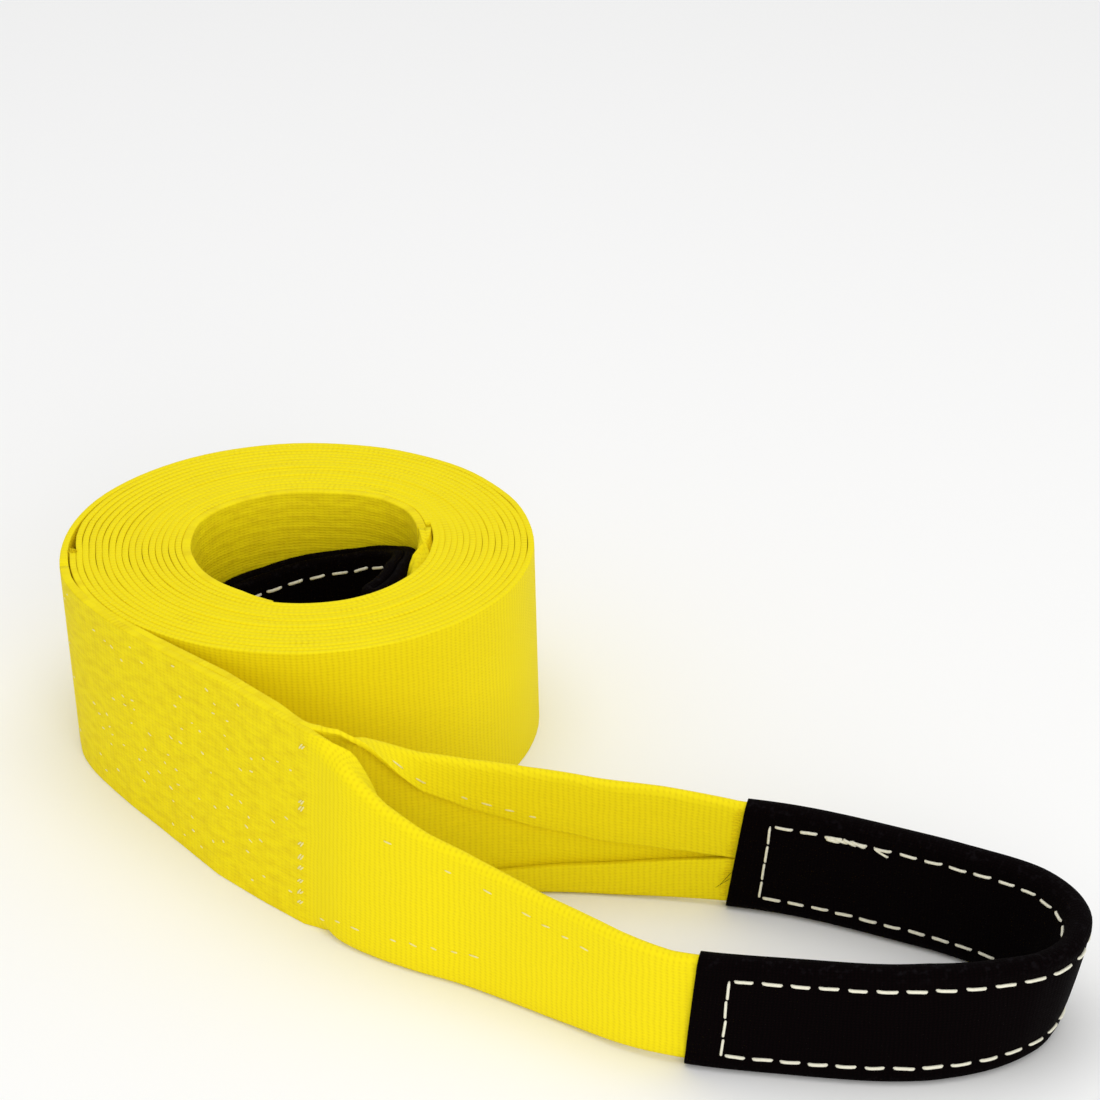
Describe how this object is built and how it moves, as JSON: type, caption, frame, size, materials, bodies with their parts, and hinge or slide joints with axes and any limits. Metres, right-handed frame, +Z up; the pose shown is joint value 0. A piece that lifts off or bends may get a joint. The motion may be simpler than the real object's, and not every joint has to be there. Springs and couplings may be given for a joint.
{
  "type": "tow strap",
  "caption": "Flat webbing tow strap wound on edge into a roll, its outer loop eye folded narrow, in a black wear sleeve and lying open on the floor.",
  "frame": {"origin": "the middle of the footprint, on the floor that the strap lies on", "axes": "+Z up along the axis of the roll, +X from the roll towards the tip of the outer eye, +Y from the eye back past the roll"},
  "size_m": [0.229, 0.229, 0.0508],
  "materials": {
    "yellow_webbing": "bright yellow woven polyester, fine lengthwise warp rows and fine cross ribs",
    "black_sleeve": "black woven fabric, matt, sewn with cream thread"
  },
  "bodies": {
    "root": {"webbing": "yellow_webbing", "outer_wear_sleeve": "black_sleeve", "inner_wear_sleeve": "black_sleeve"}
  },
  "joints": []
}
